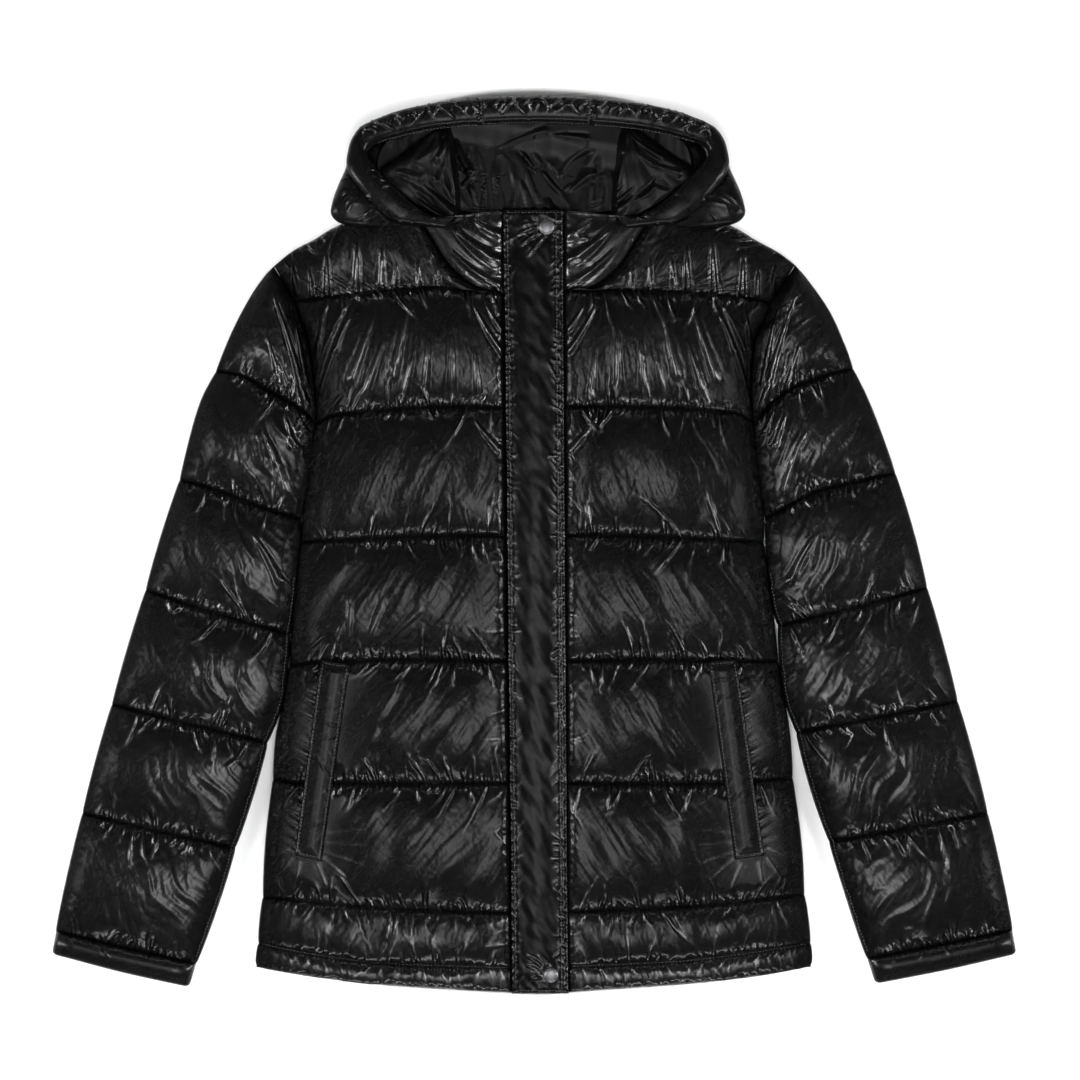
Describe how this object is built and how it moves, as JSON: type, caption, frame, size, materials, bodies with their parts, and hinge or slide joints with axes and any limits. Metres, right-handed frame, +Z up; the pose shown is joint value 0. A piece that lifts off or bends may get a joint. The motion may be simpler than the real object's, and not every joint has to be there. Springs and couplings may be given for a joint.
{
  "type": "hooded puffer jacket",
  "caption": "Hooded puffer jacket, fastened and laid flat on its back, with horizontally quilted fronts, back and sleeves, a placket flap with snap caps, and welt pockets.",
  "frame": {"origin": "on the ground under the middle of the jacket's box", "axes": "+X towards the wearer's left sleeve, +Y towards the hood, +Z up from the ground"},
  "size_m": [0.8682, 0.8066, 0.0466],
  "materials": {
    "shell": "glossy coated black nylon over padding, with fine creases",
    "lining": "soft black satin lining",
    "snap_metal": "dark gunmetal enamel, satin sheen"
  },
  "bodies": {
    "root": {"back_panel": "shell", "front_panel_right": "shell", "front_panel_left": "shell", "hem_band_back": "shell", "hem_band_right": "shell", "hem_band_left": "shell", "sleeve_top_right": "shell", "sleeve_top_left": "shell", "sleeve_under_right": "shell", "sleeve_under_left": "shell", "cuff_band_right": "shell", "cuff_band_left": "shell", "collar_stand_right": "shell", "collar_stand_left": "shell", "placket_flap": "shell", "pocket_welt_right": "shell", "pocket_welt_left": "shell", "hood_rim_right": "shell", "hood_rim_centre": "shell", "hood_rim_left": "shell", "hood_side_right": "shell", "hood_side_left": "shell", "hood_back": "shell", "hood_lining_back": "lining", "hood_lining_right": "lining", "hood_lining_left": "lining", "snap_top": "snap_metal", "snap_foot": "snap_metal"}
  },
  "joints": []
}
